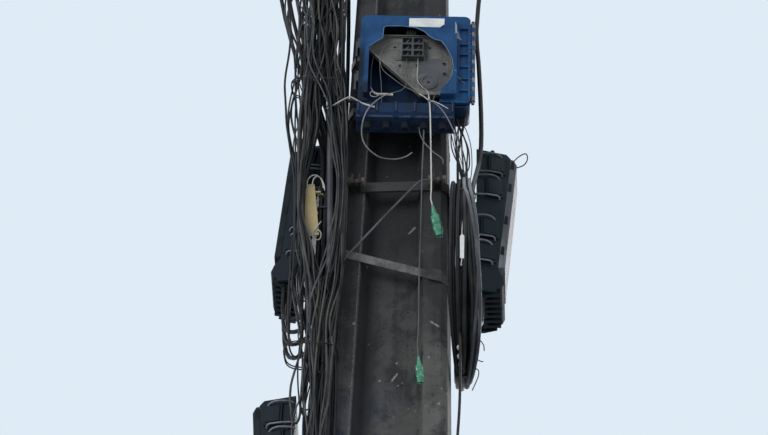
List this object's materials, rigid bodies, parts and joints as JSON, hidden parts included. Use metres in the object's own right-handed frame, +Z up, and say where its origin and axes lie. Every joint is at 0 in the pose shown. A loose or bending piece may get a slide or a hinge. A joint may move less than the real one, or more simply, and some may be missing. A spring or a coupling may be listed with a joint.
{
  "type": "concrete utility pole with telecom terminal box",
  "caption": "Tapered double-T concrete utility pole carrying a broken fibre terminal box, ribbed splice closures, a coil of spare cable, clamps, straps and a bundle of cables",
  "frame": {"origin": "middle of the pole's foot face at ground level", "axes": "+Z up the pole, -Y out of the recessed face that carries the terminal box, +X to the right seen from the front"},
  "size_m": [0.5588, 0.441, 7.5],
  "materials": {
    "concrete": "weathered, stained with mould",
    "galvanised_steel": "dull zinc",
    "rusty_steel": "rusted",
    "grey_plastic": "matt",
    "blue_plastic": "matt",
    "door_blue_plastic": "satin",
    "black_plastic": "satin",
    "black_rubber": "matt",
    "tray_plastic": "matt",
    "cable_black": "satin",
    "cable_grey": "satin",
    "drop_white": "satin",
    "connector_green": "gloss",
    "plate_yellow": "faded"
  },
  "bodies": {
    "pole": {"pole_shaft": "concrete", "band_front": "galvanised_steel", "band_rear": "galvanised_steel", "band_bolts": "rusty_steel", "loose_strap": "galvanised_steel", "strap_buckle": "galvanised_steel", "box_rails": "grey_plastic", "box_straps": "galvanised_steel", "box_base": "blue_plastic", "base_knuckles": "blue_plastic", "hinge_pin": "galvanised_steel", "cable_lip": "blue_plastic", "lip_grommets": "black_rubber", "door_latches": "black_plastic", "splice_tray": "tray_plastic", "adapter_block": "black_plastic", "right_closure_body": "black_plastic", "right_closure_cover": "grey_plastic", "right_closure_clips": "black_plastic", "right_closure_gland": "black_rubber", "right_closure_bracket": "galvanised_steel", "left_closure_body": "black_plastic", "left_closure_cover": "black_plastic", "left_closure_clips": "black_plastic", "left_closure_gland": "black_rubber", "left_closure_bracket": "galvanised_steel", "lower_closure_body": "black_plastic", "lower_closure_cover": "black_plastic", "lower_closure_clips": "black_plastic", "lower_closure_gland": "black_rubber", "lower_closure_bracket": "galvanised_steel", "slack_coil": "cable_black", "coil_ties": "drop_white", "coil_lead": "cable_black", "coil_tail": "cable_black", "cable_bar": "galvanised_steel", "bar_clamps": "black_plastic", "left_cables": "cable_black", "lower_cables": "cable_black", "looped_cables": "cable_black", "thick_cable": "cable_grey", "feeder_cable": "cable_black", "bundle_ties": "black_plastic", "tie_wire": "galvanised_steel", "tag_plate": "plate_yellow", "upper_drop": "drop_white", "upper_connector": "connector_green", "lower_drop": "drop_white", "lower_connector": "connector_green", "pigtail": "drop_white"},
    "door": {"box_door": "door_blue_plastic"}
  },
  "joints": [
    {"name": "box_door_hinge", "type": "hinge", "parent": "pole", "child": "door", "pos_m": [0.16855, -0.1533, 4.906], "axis": [0, 0, 1], "range_deg": [0, 120]}
  ]
}
